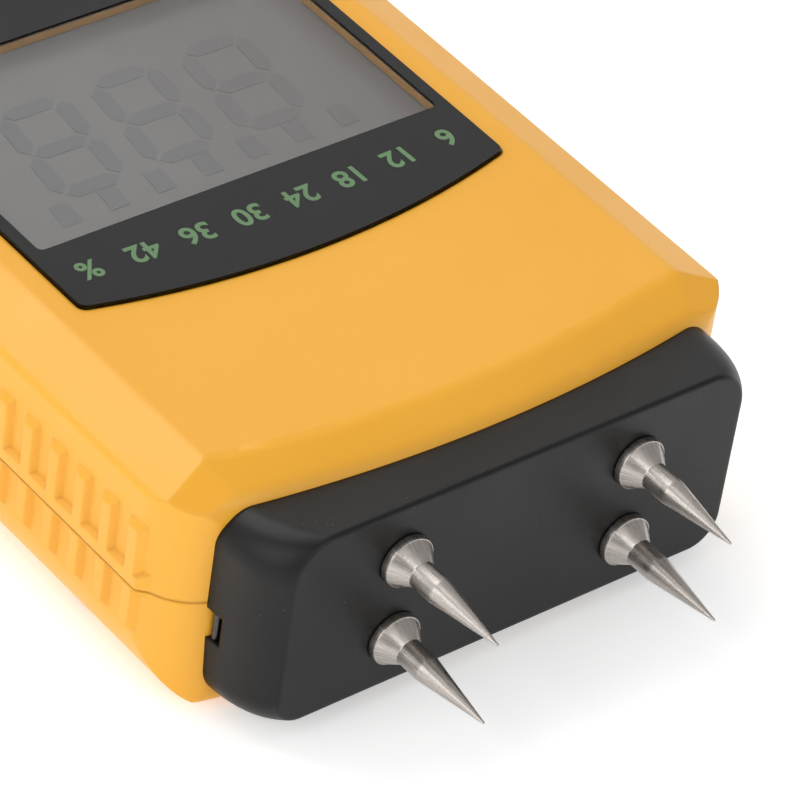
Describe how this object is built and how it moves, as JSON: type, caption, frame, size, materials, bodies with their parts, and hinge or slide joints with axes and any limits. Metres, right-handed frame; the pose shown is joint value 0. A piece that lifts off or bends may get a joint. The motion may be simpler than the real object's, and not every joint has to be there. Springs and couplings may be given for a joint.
{
  "type": "pin moisture meter",
  "caption": "Hand-held pin moisture meter: flat moulded case with chamfered face, display window, push buttons, black probe nose with needle pins and a sliding battery door.",
  "frame": {"origin": "on the flat back, midway along and across the yellow case", "axes": "+X across the case, to the right when reading the face with the pins at the top; +Y along the case towards the pin tips; +Z out of the face"},
  "size_m": [0.0688, 0.147, 0.0269],
  "materials": {
    "battery_wrap": "printed steel jacket",
    "board_green": "solder mask on glass laminate",
    "border_black": "printed film",
    "brass": "plain",
    "button_rubber": "silicone, satin",
    "case_yellow": "satin moulded ABS",
    "chips_black": "moulded",
    "display_grey": "liquid crystal glass with grey polariser",
    "frame_white": "moulded",
    "lead_insulation": "PVC covered wire",
    "lens_clear": "clear acrylic, gloss",
    "nose_black": "satin moulded ABS",
    "pad_foam": "open foam",
    "pin_steel": "turned",
    "screw_steel": "zinc plated",
    "strip_rubber": "conductive rubber"
  },
  "bodies": {
    "case": {"battery": "battery_wrap", "battery_clip": "chips_black", "battery_leads": "lead_insulation", "battery_pad": "pad_foam", "board_parts": "chips_black", "board_screws": "screw_steel", "buzzer": "chips_black", "case_screws": "screw_steel", "circuit_board": "board_green", "contact_plates": "brass", "contact_strips": "strip_rubber", "display_frame": "frame_white", "display_glass": "display_grey", "display_lens": "lens_clear", "front_housing": "case_yellow", "latch_posts": "pin_steel", "lens_border": "border_black", "needle_pins": "pin_steel", "pin_inserts": "brass", "pin_leads": "lead_insulation", "pin_nuts": "screw_steel", "probe_nose": "nose_black", "rear_housing": "case_yellow", "tact_switches": "chips_black"},
    "door": {"battery_door": "case_yellow"},
    "button_left_cap": {"button_left": "button_rubber"},
    "button_middle_cap": {"button_middle": "button_rubber"},
    "button_right_cap": {"button_right": "button_rubber"}
  },
  "joints": [
    {"name": "door_slide", "type": "slide", "parent": "case", "child": "door", "axis": [0, -1, 0], "range_m": [0, 0.028]},
    {"name": "button_left_press", "type": "slide", "parent": "case", "child": "button_left_cap", "axis": [0, 0, -1], "range_m": [0, 0.0005], "stiffness_N_per_m": 400},
    {"name": "button_middle_press", "type": "slide", "parent": "case", "child": "button_middle_cap", "axis": [0, 0, -1], "range_m": [0, 0.0005], "stiffness_N_per_m": 400},
    {"name": "button_right_press", "type": "slide", "parent": "case", "child": "button_right_cap", "axis": [0, 0, -1], "range_m": [0, 0.0005], "stiffness_N_per_m": 400}
  ]
}
